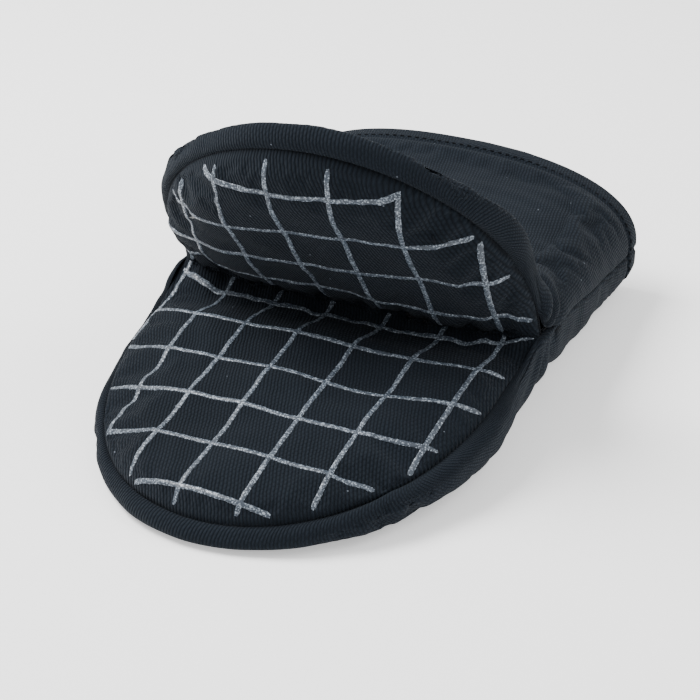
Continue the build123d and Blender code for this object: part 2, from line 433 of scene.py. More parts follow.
def thumbCover(across, along, inset=0.0):
    lobe = thumbLobe
    radius = np.sqrt(across**2 + along**2)
    ux, us = across / np.maximum(radius, 1e-9), along / np.maximum(radius, 1e-9)
    rimX, rimS = lobeFlat(lobe, ux, us)
    out, down = coverRoll(lobe, rimS, rimX)
    out = out - inset
    share, lift = domeProfile(radius / rollShare, 2.5)
    turn = np.clip((radius - rollShare) / (1 - rollShare), 0, 1) * 0.5 * np.pi
    grow = out * np.cos(turn)
    outer = np.where(radius > rollShare, 1.0, share)
    x, s = lobeFlat(lobe, ux * outer, us * outer, grow)
    depth = thumbDepth(s) - inset
    n = np.where(radius > rollShare, -down + (down - 0.3) * np.sin(turn), -down - (depth - down) * lift)
    return lobePlace(lobe, x, s, n)


def cuffBottom(across, t, inset=0.0):
    # the same section as the finger cover's root, carried to the end of the cuff
    h = mouth["cornerZ"] + (cuff["endSideZ"] - mouth["cornerZ"]) * smooth(t * 0.9)
    h = h + (cuff["endSideZ"] - h) * t**3
    half = mouth["cornerX"] + (cuff["endSideX"] - mouth["cornerX"]) * t
    radius = np.abs(across)
    share, lift = domeProfile(radius / rollShare, 3.6)
    turn = np.clip((radius - rollShare) / (1 - rollShare), 0, 1) * 0.5 * np.pi
    x = np.where(radius > rollShare, half + (1.0 - inset) * np.cos(turn), (half + 1.0 - inset) * share)
    widest = h - 1.5
    z = np.where(radius > rollShare, widest + 1.2 * np.sin(turn), inset + (widest - inset) * (1 - lift))
    startY = fingerLobe["originY"]
    y = startY + (cuffEnd - endGap - startY) * t
    return np.stack([np.sign(across) * x + mouth["skew"] * (1 - t), y, z], -1)


def cuffDome(across, t, inset=0.0):
    # a tilted arch at the knuckle that stands up square to the cuff by its end
    root = thumbCover(across, 0 * across, inset)
    h = cuff["endSideZ"]
    half = cuff["endSideX"]
    radius = np.abs(across)
    share, lift = domeProfile(radius / rollShare, 2.3)
    turn = np.clip((radius - rollShare) / (1 - rollShare), 0, 1) * 0.5 * np.pi
    x = np.where(radius > rollShare, half + (1.0 - inset) * np.cos(turn), (half + 1.0 - inset) * share)
    rise = cuffTop - cuff["hemLift"] - h - 1.5 - inset
    z = np.where(radius > rollShare, h + 1.5 - 1.2 * np.sin(turn), h + 1.5 + rise * lift)
    end = np.stack([np.sign(across) * x, np.full_like(x, cuffEnd - endGap), z], -1)
    share2 = t[..., None]
    place = root * (1 - share2) + end * share2
    # the side falls as the lower cover's does
    side = mouth["cornerZ"] + (cuff["endSideZ"] - mouth["cornerZ"]) * smooth(t * 0.9)
    side = side + (cuff["endSideZ"] - side) * t**3
    straight = thumbLobe["originZ"] + (cuff["endSideZ"] - thumbLobe["originZ"]) * t
    atSide = smooth((np.abs(across) - 0.45) / 0.5)
    place[..., 2] += (side - straight) * atSide * smooth(t * 8)
    return place


coverGrid = {"columns": 201, "lobeRows": 121, "cuffRows": 81}


def gridSign(points, normals):
    # 1 where the grid's normals face away from the middle of the cuff, and -1 where they face it
    middle = np.array([0.0, points[0, 0, 1], 20.0])
    return np.sign((normals[0] * (points[0] - middle)).sum())


def wholeCover(lobeFunction, cuffFunction, inset=0.0, shrink=1.0):
    # cuff rows from the hem to the root, then the lobe's rows to its tip
    columns = coverGrid["columns"]
    across, along = discGrid(columns, coverGrid["lobeRows"])
    drawn = shrink if inset == 0.0 else shrink * (1 - 0.1 * smooth(along * 2.0))
    lobePart = lobeFunction(across * drawn, along * drawn, inset)
    a, t = np.meshgrid(np.linspace(-1, 1, columns), np.linspace(1, 0, coverGrid["cuffRows"])[:-1])
    cuffPart = cuffFunction(a * shrink, t, inset)
    points = np.concatenate([cuffPart, lobePart])
    if inset == 0.0:
        normals = gridNormals(points)
        sideways = np.abs(np.linspace(-1, 1, columns))[None, :]
        soft = 0.45 * ripple(points, 40.0, 21) + 0.12 * ripple(points * np.array([1.0, 1.6, 1.0]), 16.0, 22)
        # creases that fan out from the corners of the mouth
        cornerX = mouth["skew"] + np.sign(points[..., 0]) * mouth["cornerX"]
        level = 0 * cornerX
        fromCorner = points - np.stack([cornerX, level + mouth["cornerY"], level + mouth["cornerZ"]], -1)
        reach = np.linalg.norm(fromCorner, axis=-1)
        bearing = np.arctan2(fromCorner[..., 2], fromCorner[..., 1])
        fan = np.sin(bearing * 9.0 + 0.04 * reach) * smooth(reach / 12.0) * np.exp(-((reach / 46.0) ** 2))
        lying = smooth((points[..., 2] - 1.0) / 5.0)
        fade = smooth((1 - sideways) / 0.08) * lying
        fade = fade * smooth((cuffEnd - cuff["hemWidth"] - points[..., 1]) / 10.0)
        groove = -0.9 * np.exp(-(((points[..., 1] - (cuffEnd - cuff["hemWidth"] - 0.6)) / 1.3) ** 2))
        fade = fade * smooth(1.0 - edgeHold(*points.shape[:2], 24.0, False))
        fanDepth = 1.1 if lobeFunction is thumbCover else 0.6
        relief = (soft + fanDepth * fan) * fade + groove * lying
        points = points + normals * relief[..., None] * gridSign(points, normals)
    centre = coverGrid["columns"] // 2
    stepU = np.linalg.norm(np.diff(points, axis=1), axis=2)
    u = np.concatenate([np.zeros((len(points), 1)), np.cumsum(stepU, 1)], 1)
    u = u - u[:, centre : centre + 1]
    stepV = np.linalg.norm(np.diff(points[:, centre], axis=0), axis=1)
    v = np.concatenate([[0], np.cumsum(stepV)])[:, None] + 0 * u
    return points, np.stack([u, v], -1)


# cloth: each skin is sewn down round its edge, a little too large, and blown out from inside

clothLook = {"scale": 10.0, "frames": 20, "quality": 6, "mass": 0.25}


def settleCloth(name, points, held, pressure, extra, cap):
    # every second point of the grid is simulated, and the moves are spread back over all of them
    coarse = points[::2, ::2]
    rows, columns = coarse.shape[:2]
    mesh = bpy.data.meshes.new(name + "Trial")
    scaled = coarse.reshape(-1, 3) * mm * clothLook["scale"]
    mesh.from_pydata(scaled.tolist(), [], gridFaces(rows, columns).tolist())
    trial = bpy.data.objects.new(name + "Trial", mesh)
    bpy.context.scene.collection.objects.link(trial)
    group = trial.vertex_groups.new(name="held")
    weight = held[::2, ::2].ravel()
    for level in np.unique(np.round(weight, 1)):
        chosen = np.flatnonzero(np.round(weight, 1) == level)
        group.add(chosen.tolist(), float(level), "REPLACE")
    cloth = trial.modifiers.new("Cloth", "CLOTH")
    settings = cloth.settings
    settings.quality = clothLook["quality"]
    settings.mass = clothLook["mass"]
    settings.tension_stiffness = 18
    settings.compression_stiffness = 18
    settings.shear_stiffness = 6
    settings.bending_stiffness = 0.25
    settings.vertex_group_mass = "held"
    settings.pin_stiffness = 6
    settings.shrink_min = -extra
    settings.use_pressure = True
    settings.uniform_pressure_force = pressure
    settings.effector_weights.gravity = 0
    cloth.point_cache.frame_start = 1
    cloth.point_cache.frame_end = clothLook["frames"]
    for frameNumber in range(1, clothLook["frames"] + 1):
        bpy.context.scene.frame_set(frameNumber)
    evaluated = trial.evaluated_get(bpy.context.evaluated_depsgraph_get())
    moved = np.zeros(rows * columns * 3, np.float32)
    evaluated.data.vertices.foreach_get("co", moved)
    move = moved.reshape(rows, columns, 3) / mm / clothLook["scale"] - coarse
    bpy.data.objects.remove(trial)
    bpy.context.scene.frame_set(1)
    length = np.linalg.norm(move, axis=-1, keepdims=True)
    move = move * np.minimum(1.0, cap / np.maximum(length, 1e-6))
    print(name, "cloth moved", round(float(length.mean()), 2), "mm, most", round(float(length.max()), 2))
    full = np.zeros_like(points)
    full[::2, ::2] = move
    full[1::2, ::2] = 0.5 * (full[:-1:2, ::2] + full[2::2, ::2])
    full[:, 1::2] = 0.5 * (full[:, :-1:2] + full[:, 2::2])
    return points + full * (1 - held)[..., None]


def coverHold(points):
    # the rolled rim and the cloth under the hem are held
    held = edgeHold(*points.shape[:2], 18.0, False, 22.0)
    return np.maximum(held, smooth((points[..., 1] - (cuffEnd - 16.0)) / 6.0))


palmPoints = {}
for lobeName, lobe in (("finger", fingerLobe), ("thumb", thumbLobe)):
    points, pattern = palmSurface(lobe)
    held = edgeHold(*points.shape[:2], 5.0, True)
    out = 1.0 if (gridNormals(points) @ lobeAxes(lobe)[1]).mean() > 0 else -1.0
    points = settleCloth(lobeName + "Palm", points, held, 1.2 * out, 0.03, 1.6)
    palmPoints[lobeName] = points, pattern
bottomPoints, bottomUv = wholeCover(fingerCover, cuffBottom)
topPoints, topUv = wholeCover(thumbCover, cuffDome)
held = coverHold(topPoints)
topPoints = settleCloth("topCover", topPoints, held, 0.6, 0.018, 1.3)
held = np.maximum(coverHold(bottomPoints), smooth((6.0 - bottomPoints[..., 2]) / 4.0))
bottomPoints = settleCloth("bottomCover", bottomPoints, held, -0.6, 0.018, 1.2)
bottomPoints[..., 2] = np.maximum(bottomPoints[..., 2], 0.3)
print("surfaces made")

# node groups shared by the materials


def newGroup(name, inputs, outputs):
    group = bpy.data.node_groups.new(name, "ShaderNodeTree")
    for socket, kind, value in inputs:
        made = group.interface.new_socket(name=socket, in_out="INPUT", socket_type=kind)
        if value is not None:
            made.default_value = value
    for socket, kind in outputs:
        group.interface.new_socket(name=socket, in_out="OUTPUT", socket_type=kind)
    return group, group.nodes.new("NodeGroupInput"), group.nodes.new("NodeGroupOutput")


def addMath(tree, operation, first, second=None, third=None):
    node = tree.nodes.new("ShaderNodeMath")
    node.operation = operation
    for slotIndex, value in enumerate((first, second, third)):
        if value is None:
            continue
        if isinstance(value, (int, float)):
            node.inputs[slotIndex].default_value = value
        else:
            tree.links.new(value, node.inputs[slotIndex])
    return node.outputs[0]


def addNoise(tree, vector, scale, detail=2.0, roughness=0.5):
    node = tree.nodes.new("ShaderNodeTexNoise")
    node.inputs["Scale"].default_value = scale
    node.inputs["Detail"].default_value = detail
    node.inputs["Roughness"].default_value = roughness
    tree.links.new(vector, node.inputs["Vector"])
    return node.outputs["Fac"]


def addMix(tree, factor, first, second):
    node = tree.nodes.new("ShaderNodeMix")
    node.data_type = "RGBA"
    for index, value in ((0, factor), (6, first), (7, second)):
        if isinstance(value, (int, float)):
            node.inputs[index].default_value = value
        elif isinstance(value, tuple):
            node.inputs[index].default_value = (*value, 1)
        else:
            tree.links.new(value, node.inputs[index])
    return node.outputs[2]


def twillGroup():
    # ribs = |sin| of the pattern across the rib, cut into yarns by a sine along it, half a yarn on per rib
    group, entry, leave = newGroup(
        "twillWeave",
        [("Pattern", "NodeSocketVector", None), ("Rib", "NodeSocketFloat", 0.0011),
         ("Yarn", "NodeSocketFloat", 0.0016), ("Angle", "NodeSocketFloat", 1.92)],
        [("Height", "NodeSocketFloat"), ("Rib Mask", "NodeSocketFloat")],
    )
    turn = group.nodes.new("ShaderNodeVectorRotate")
    turn.rotation_type = "Z_AXIS"
    group.links.new(entry.outputs["Pattern"], turn.inputs["Vector"])
    group.links.new(entry.outputs["Angle"], turn.inputs["Angle"])
    split = group.nodes.new("ShaderNodeSeparateXYZ")
    group.links.new(turn.outputs[0], split.inputs[0])
    waver = addNoise(group, entry.outputs["Pattern"], 160.0, 2.0)
    waver = addMath(group, "MULTIPLY", addMath(group, "SUBTRACT", waver, 0.5), 0.9)
    across = addMath(group, "ADD", addMath(group, "DIVIDE", split.outputs[1], entry.outputs["Rib"]), waver)
    along = addMath(group, "DIVIDE", split.outputs[0], entry.outputs["Yarn"])
    rib = addMath(group, "ABSOLUTE", addMath(group, "SINE", addMath(group, "MULTIPLY", across, 3.14159)))
    step = addMath(group, "MULTIPLY", addMath(group, "FLOOR", across), 0.5)
    yarn = addMath(group, "MULTIPLY", addMath(group, "ADD", along, step), 3.14159)
    yarn = addMath(group, "ABSOLUTE", addMath(group, "SINE", yarn))
    raised = addMath(group, "ADD", addMath(group, "MULTIPLY", yarn, 0.45), 0.55)
    height = addMath(group, "MULTIPLY", rib, raised)
    group.links.new(height, leave.inputs["Height"])
    group.links.new(rib, leave.inputs["Rib Mask"])
    return group


def wearGroup():
    # broad fading, small mottling and pale lint specks, each 0 to 1
    group, entry, leave = newGroup(
        "clothWear",
        [("Position", "NodeSocketVector", None)],
        [("Fade", "NodeSocketFloat"), ("Mottle", "NodeSocketFloat"), ("Lint", "NodeSocketFloat")],
    )
    position = entry.outputs["Position"]
    group.links.new(addNoise(group, position, 22.0, 3.0, 0.55), leave.inputs["Fade"])
    group.links.new(addNoise(group, position, 420.0, 4.0, 0.7), leave.inputs["Mottle"])
    cells = group.nodes.new("ShaderNodeTexVoronoi")
    cells.inputs["Scale"].default_value = 420.0
    cells.inputs["Randomness"].default_value = 1.0
    group.links.new(position, cells.inputs["Vector"])
    colour = group.nodes.new("ShaderNodeSeparateColor")
    group.links.new(cells.outputs["Color"], colour.inputs[0])
    chosen = addMath(group, "GREATER_THAN", colour.outputs[0], 0.985)
    close = addMath(group, "LESS_THAN", cells.outputs["Distance"], 0.12)
    group.links.new(addMath(group, "MULTIPLY", chosen, close), leave.inputs["Lint"])
    return group


def glitterGroup():
    # fine flakes in the print: cell colours over a threshold, and a cloudy cover where the ink lies thin
    group, entry, leave = newGroup(
        "printSpeckle",
        [("Position", "NodeSocketVector", None)],
        [("Flake", "NodeSocketFloat"), ("Cover", "NodeSocketFloat"), ("Height", "NodeSocketFloat")],
    )
    position = entry.outputs["Position"]
    cells = group.nodes.new("ShaderNodeTexVoronoi")
    cells.inputs["Scale"].default_value = 2600.0
    group.links.new(position, cells.inputs["Vector"])
    colour = group.nodes.new("ShaderNodeSeparateColor")
    group.links.new(cells.outputs["Color"], colour.inputs[0])
    chosen = addMath(group, "GREATER_THAN", colour.outputs[0], 0.62)
    flake = addMath(group, "MULTIPLY", chosen, colour.outputs[1])
    group.links.new(flake, leave.inputs["Flake"])
    group.links.new(addNoise(group, position, 260.0, 3.0, 0.6), leave.inputs["Cover"])
    group.links.new(addNoise(group, position, 1500.0, 2.0, 0.6), leave.inputs["Height"])
    return group


twill = twillGroup()
wear = wearGroup()
glitter = glitterGroup()


def useGroup(tree, group):
    node = tree.nodes.new("ShaderNodeGroup")
    node.node_tree = group
    return node


def startMaterial(name, roughness, sheen, specular):
    material = bpy.data.materials.new(name)
    material.use_nodes = True
    tree = material.node_tree
    shader = tree.nodes["Principled BSDF"]
    shader.inputs["Roughness"].default_value = roughness
    shader.inputs["Sheen Weight"].default_value = sheen
    shader.inputs["Sheen Roughness"].default_value = 0.45
    shader.inputs["Sheen Tint"].default_value = (0.72, 0.8, 0.92, 1)
    shader.inputs["Specular IOR Level"].default_value = specular
    place = tree.nodes.new("ShaderNodeTexCoord").outputs["Object"]
    return material, tree, shader, place


def addBump(tree, shader, height, distance, strength):
    bump = tree.nodes.new("ShaderNodeBump")
    bump.inputs["Strength"].default_value = strength
    bump.inputs["Distance"].default_value = distance
    tree.links.new(height, bump.inputs["Height"])
    tree.links.new(bump.outputs[0], shader.inputs["Normal"])


def clothMaterial(name, look):
    material, tree, shader, place = startMaterial(name, look["roughness"], look["sheen"], 0.1)
    pattern = tree.nodes.new("ShaderNodeUVMap")
    pattern.uv_map = "pattern"
    weave = useGroup(tree, twill)
    weave.inputs["Rib"].default_value = look["rib"]
    weave.inputs["Yarn"].default_value = look["yarn"]
    weave.inputs["Angle"].default_value = look["angle"]
    tree.links.new(pattern.outputs[0], weave.inputs["Pattern"])
    marks = useGroup(tree, wear)
    tree.links.new(place, marks.inputs["Position"])
    base = addMix(tree, weave.outputs["Height"], look["groove"], look["rise"])
    faded = addMix(tree, addMath(tree, "MULTIPLY", marks.outputs["Fade"], 0.6), base, look["faded"])
    mottled = addMix(tree, addMath(tree, "MULTIPLY", marks.outputs["Mottle"], 0.3), faded, look["groove"])
    lint = addMath(tree, "MULTIPLY", marks.outputs["Lint"], look["lint"])
    linted = addMix(tree, lint, mottled, look["lintColour"])
    tree.links.new(linted, shader.inputs["Base Color"])
    fuzz = addMath(tree, "MULTIPLY", marks.outputs["Mottle"], 0.5)
    addBump(tree, shader, addMath(tree, "ADD", weave.outputs["Height"], fuzz), look["relief"], 0.85)
    return material


def printMaterial(name, look):
    material, tree, shader, place = startMaterial(name, 0.42, 0.0, 0.5)
    speck = useGroup(tree, glitter)
    tree.links.new(place, speck.inputs["Position"])
    thin = addMix(tree, speck.outputs["Cover"], look["thin"], look["body"])
    full = addMix(tree, addMath(tree, "MULTIPLY", speck.outputs["Flake"], 0.85), thin, look["flake"])
    tree.links.new(full, shader.inputs["Base Color"])
    rough = addMath(tree, "SUBTRACT", 0.55, addMath(tree, "MULTIPLY", speck.outputs["Flake"], 0.3))
    tree.links.new(rough, shader.inputs["Roughness"])
    addBump(tree, shader, speck.outputs["Height"], 0.00008, 0.6)
    return material


def threadMaterial(name, look):
    # twist = sine of the length along the thread plus its turn
    material, tree, shader, place = startMaterial(name, 0.85, 0.0, 0.1)
    pattern = tree.nodes.new("ShaderNodeUVMap")
    pattern.uv_map = "pattern"
    split = tree.nodes.new("ShaderNodeSeparateXYZ")
    tree.links.new(pattern.outputs[0], split.inputs[0])
    length = addMath(tree, "MULTIPLY", split.outputs[0], 6500.0)
    turn = addMath(tree, "MULTIPLY", split.outputs[1], 1000.0)
    twist = addMath(tree, "SINE", addMath(tree, "ADD", length, turn))
    lift = addMath(tree, "ADD", addMath(tree, "MULTIPLY", twist, 0.5), 0.5)
    marks = useGroup(tree, wear)
    tree.links.new(place, marks.inputs["Position"])
    base = addMix(tree, lift, look["groove"], look["rise"])
    mottled = addMix(tree, addMath(tree, "MULTIPLY", marks.outputs["Mottle"], 0.4), base, look["groove"])
    tree.links.new(mottled, shader.inputs["Base Color"])
    addBump(tree, shader, lift, 0.0002, 0.8)
    return material


def waddingMaterial(name, look):
    material, tree, shader, place = startMaterial(name, 0.95, 0.3, 0.2)
    marks = useGroup(tree, wear)
    tree.links.new(place, marks.inputs["Position"])
    base = addMix(tree, marks.outputs["Mottle"], look["groove"], look["rise"])
    tree.links.new(base, shader.inputs["Base Color"])
    addBump(tree, shader, marks.outputs["Mottle"], 0.0006, 0.9)
    return material


coverLook = {
    "groove": (0.001, 0.0014, 0.0025),
    "rise": (0.0085, 0.0125, 0.018),
    "faded": (0.0125, 0.018, 0.0255),
    "rib": 0.0011,
    "yarn": 0.0017,
    "angle": 1.75,
    "relief": 0.0004,
    "roughness": 0.93,
    "sheen": 0.035,
    "lint": 0.5,
    "lintColour": (0.22, 0.25, 0.29),
}
palmLook = dict(
    coverLook, groove=(0.0006, 0.0008, 0.0016), rise=(0.008, 0.0118, 0.017), angle=1.22, relief=0.0005
)
hemLook = dict(coverLook, rise=(0.0095, 0.0138, 0.0195), angle=0.9)
liningLook = dict(
    coverLook, groove=(0.004, 0.004, 0.006), rise=(0.013, 0.014, 0.018), rib=0.0008, yarn=0.0008, sheen=0.1
)
printLook = {"thin": (0.008, 0.012, 0.019), "body": (0.042, 0.058, 0.08), "flake": (0.34, 0.39, 0.45)}
# thread colours: the thread's own dark colour, made darker still as painted shade standing for the shadowed
# recess of the sunken seams
threadLook = {"groove": (0.001, 0.0013, 0.002), "rise": (0.0055, 0.0075, 0.011)}
waddingLook = {"groove": (0.42, 0.40, 0.36), "rise": (0.72, 0.70, 0.66)}
coverTwill = clothMaterial("coverTwill", coverLook)
palmTwill = clothMaterial("palmTwill", palmLook)
hemTwill = clothMaterial("hemTwill", hemLook)
liningCloth = clothMaterial("liningCloth", liningLook)
silicone = printMaterial("siliconePrint", printLook)
# the thread material's dark colours carry painted shade for the seam recesses on top of the thread's own
# colour
threadDarkWithShade = threadMaterial("threadDarkWithShade", threadLook)
waddingFibre = waddingMaterial("waddingFibre", waddingLook)
print("materials made")


def dress(piece, material, nodes=()):
    piece.data.materials.append(material)
    if nodes:
        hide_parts(*nodes)


def bend(piece, lobeName):
    if lobeName == "finger":
        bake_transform(piece)
        return
    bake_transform(piece)


# covers and palms as thin closed cloth

pieces = {}
for lobeName, lobe in (("finger", fingerLobe), ("thumb", thumbLobe)):
    points, pattern = palmPoints[lobeName]
    normals = palmNormals(lobe, points)
    name = lobeName + "Palm"
    sewn = edgeHold(*points.shape[:2], 9.0, False)[..., None]
    pieces[name] = makeShell(name, points, points - normals * fabric * (1 - 0.75 * sewn), pattern)
    dress(pieces[name], palmTwill, [lobeName + "_palm_panel"])
for name, points, uv, nodes, sign in (
    ("bottomCover", bottomPoints, bottomUv, ["finger_back_panel", "cuff_bottom_panel"], -1),
    ("topCover", topPoints, topUv, ["thumb_back_panel", "cuff_top_panel"], 1),
):
    normals = gridNormals(points) * sign
    rolledIn = edgeHold(*points.shape[:2], 26.0, False)[..., None]
    pieces[name] = makeShell(name, points, points - normals * fabric * (1 - 0.7 * rolledIn), uv)
    dress(pieces[name], coverTwill, nodes)

# fillings and linings: the same surfaces drawn inwards

layerSteps = {
    "fillingOuter": fabric + 1.9,
    "fillingInner": fabric + wadding,
    "liningOuter": fabric + wadding + 0.2,
    "liningInner": fabric + wadding + 0.2 + lining,
}


def coverLayer(name, lobeFunction, cuffFunction, outerInset, innerInset, material, slotName, nodes):
    reach = 0.8 if material == liningCloth else 0.76
    outer, uv = wholeCover(lobeFunction, cuffFunction, outerInset, reach)
    inner = wholeCover(lobeFunction, cuffFunction, innerInset, reach)[0]
    pieces[name] = makeShell(name, outer, inner, uv)
    dress(pieces[name], material, nodes)


def palmLayer(lobeName, name, outerInset, innerInset, shrink, material, nodes):
    lobe = fingerLobe if lobeName == "finger" else thumbLobe
    points, pattern = palmSurface(lobe, shrink, 0.16)
    normals = palmNormals(lobe, points)
    pieces[name] = makeShell(name, points - normals * outerInset, points - normals * innerInset, pattern)
    dress(pieces[name], material, nodes)


outerFill, innerFill = layerSteps["fillingOuter"], layerSteps["fillingInner"]
outerLine, innerLine = layerSteps["liningOuter"], layerSteps["liningInner"]
for side, lobeName, lobeFunction, cuffFunction in (
    ("bottom", "finger", fingerCover, cuffBottom), ("top", "thumb", thumbCover, cuffDome),
):
    both = (lobeFunction, cuffFunction)
    nodes = [lobeName + "_back_wadding", "cuff_" + side + "_wadding"]
    coverLayer(side + "Filling", *both, outerFill, innerFill, waddingFibre, "wadding", nodes)
    nodes = [lobeName + "_back_lining", "cuff_" + side + "_lining"]
    coverLayer(side + "Lining", *both, outerLine, innerLine, liningCloth, "lining_cotton", nodes)
    nodes, name = [lobeName + "_palm_wadding"], lobeName + "PalmFilling"
    palmLayer(lobeName, name, outerFill + 0.8, innerFill, 0.78, waddingFibre, nodes)
    nodes, name = [lobeName + "_palm_lining"], lobeName + "PalmLining"
    palmLayer(lobeName, name, outerLine, innerLine, 0.84, liningCloth, nodes)
print("cloth layers made")

# the printed grid

grid = {
    "pitch": 20.0,
    "cross": 19.2,
    "firstCross": -9.0,
    "width": 1.7,
    "height": 0.28,
    "margin": 0.9,
    "step": 0.8,
}


def patternToPlane(lobe, p, q):
    # where a point of the printed pattern lies on the lobe: lines bow towards the crease at the sides
    if lobe["side"] > 0:
        s = 4.5 - 0.985 * q - 5.0 * (np.abs(p) / 60.0) ** 4
        return p - 2.0 * (s / 110.0) ** 2 + 1.5 * smooth(-p / 60.0), s
    s = 9.0 + 0.99 * q - thumbLobe["bow"] * (np.abs(p) / 60.0) ** 3
    return p - 1.0 + 3.0 * smooth(-p / 60.0), s


def insideOutline(lobe, x, s):
    # distance to the nearest point of the seam on the flat plane, negative outside it
    angle = np.linspace(0, np.pi, 500)
    seamX, seamS = lobeFlat(lobe, np.cos(angle), np.sin(angle))
    nearest = np.sqrt((x[:, None] - seamX) ** 2 + (s[:, None] - seamS) ** 2).min(1)
    inside = (np.abs(x - lobeSkew(lobe, s)) < lobeWidth(lobe, s)) & (s < lobe["length"])
    return np.where(inside, nearest, -nearest)


def gridRibbons(lobe, surface):
    # each line: a rounded strip, half width w, height h (1 - v^4), laid on the palm's skin
    allPoints, allFaces, allUv = [], [], []
    start = 0
    lines = [("along", grid["pitch"] * k) for k in range(-3, 4)]
    lines += [("across", grid["firstCross"] + grid["cross"] * k) for k in range(-5, 5)]
    for kind, value in lines:
        step = np.arange(-130, 130, grid["step"])
        value = value + 0.35 * np.sin(step / 17.0 + value) + 0 * step
        p, q = (value, step) if kind == "along" else (step, value)
        x, s = patternToPlane(lobe, p, q)
        keep = (insideOutline(lobe, x, s) > grid["margin"]) & (s > 0.8) & (s < lobe["length"] - 0.9)
        if lobe["side"] > 0:
            keep &= q <= 0.0
        else:
            keep &= q >= 0.0
        if keep.sum() < 6:
            continue
        x, s, p, q = x[keep], s[keep], p[keep], q[keep]
        aheadX, aheadS = np.gradient(x), np.gradient(s)
        stepLength = np.hypot(aheadX, aheadS)
        across = np.array([-1.0, -0.92, -0.65, -0.25, 0.25, 0.65, 0.92, 1.0])
        lift = np.array([-0.5, 0.45, 0.9, 1.0, 1.0, 0.9, 0.45, -0.5])
        raggedness = 1 + 0.06 * np.sin(step[keep] * 1.1) + 0.05 * np.sin(step[keep] * 2.9 + value[keep])
        half = grid["width"] * 0.5 * raggedness
        ends = np.minimum(np.arange(len(x)), np.arange(len(x))[::-1])
        taper = np.clip((ends + 0.5) / 2.0, 0.2, 1.0) ** 0.5
        spread = (half * taper)[:, None] * across
        wideX = x[:, None] - spread * (aheadS / stepLength)[:, None]
        wideS = s[:, None] + spread * (aheadX / stepLength)[:, None]
        place, normal = onSurface(lobe, surface, wideX, wideS)
        points = place + (grid["height"] * taper)[:, None, None] * lift[None, :, None] * unit(normal)
        rows, columns = points.shape[:2]
        faces = gridFaces(rows, columns, start)
        closing = np.arange(rows - 1) * columns + start
        under = np.stack([closing, closing + columns, closing + 2 * columns - 1, closing + columns - 1], -1)
        allFaces.append(faces)
        allFaces.append(under[:, ::-1])
        allPoints.append(points.reshape(-1, 3))
        allUv.append(np.stack([np.repeat(p, columns), np.repeat(q, columns)], -1))
        start += rows * columns
    return np.concatenate(allPoints), np.concatenate(allFaces), np.concatenate(allUv)


def onSurface(lobe, grids, x, s):
    # the settled skin at a place of the flat plane: back to the grid, then between its four nearest points
    along = np.clip(s / lobe["length"], 0, 1)
    share = np.clip((x - lobeSkew(lobe, s)) / np.maximum(lobeWidth(lobe, s), 1e-6), -1, 1)
    a, b = discToSquare(share * np.sqrt(1 - along**2), along)
    rows, columns = grids[0].shape[:2]
    column = np.clip((a + 1) / 2 * (columns - 1), 0, columns - 1.001)
    row = np.clip(b * (rows - 1), 0, rows - 1.001)
    i, j = row.astype(int), column.astype(int)
    u, v = (column - j)[..., None], (row - i)[..., None]
    return [
        (g[i, j] * (1 - u) + g[i, j + 1] * u) * (1 - v) + (g[i + 1, j] * (1 - u) + g[i + 1, j + 1] * u) * v
        for g in grids
    ]


for lobeName, lobe in (("finger", fingerLobe), ("thumb", thumbLobe)):
    skin = palmPoints[lobeName][0]
    points, faces, uv = gridRibbons(lobe, [skin, palmNormals(lobe, skin)])
    name = lobeName + "Print"
    pieces[name] = makeMesh(name, points, faces, uv)
    dress(pieces[name], silicone, [lobeName + "_silicone_grid"])
print("printed grid made")

# seams

seamLook = {"radius": 0.45}
for lobeName, lobe in (("finger", fingerLobe), ("thumb", thumbLobe)):
    line, x, s = seamLine(lobe, np.linspace(0.03, np.pi - 0.03, 420))
    name = lobeName + "RimSeam"
    line = line + 0.08 * ripple(line, 4.0, 5)[:, None] * np.array([0, 0, 1.0]) - 0.45 * lobeAxes(lobe)[1]
    pieces[name] = makeTube(name, line, seamLook["radius"])
    dress(pieces[name], threadDarkWithShade, [lobeName + "_rim_seam"])

for sideName, sign in (("left", -1), ("right", 1)):
    t = np.linspace(0.01, 0.93, 160)
    lower = cuffBottom(np.full_like(t, sign * 1.0), t)
    upper = cuffDome(np.full_like(t, sign * 1.0), t)
    line = 0.5 * (lower + upper)
    name = sideName + "SideSeam"
    pieces[name] = makeTube(name, line, seamLook["radius"])
    dress(pieces[name], threadDarkWithShade, [sideName + "_side_seam"])
print("seams made")

# the folded hem: one profile carried round the end of the cuff


def endRing(t, count=220):
    # lower section from left to right, then the upper one back, with no point twice
    a = np.linspace(-1, 1, count)
    lower = cuffBottom(a, np.full_like(a, t))
    upper = cuffDome(a[::-1], np.full_like(a, t))
    ring = np.concatenate([lower, upper[1:-1]])
    ring = ring[:-1] if np.allclose(ring[0], ring[-1]) else ring
    return ring


def evenRing(ring, count):
    # the same closed line with equal steps
    closed = np.concatenate([ring, ring[:1]])
    length = np.concatenate([[0], np.cumsum(np.linalg.norm(np.diff(closed, axis=0), axis=1))])
    want = np.linspace(0, length[-1], count, endpoint=False)
    return np.stack([np.interp(want, length, closed[:, k]) for k in range(3)], -1), want


def ringOut(ring):
    ahead = unit(np.roll(ring, -2, 0) - np.roll(ring, 2, 0))
    return unit(np.cross(ahead, np.array([0.0, 1.0, 0.0])))


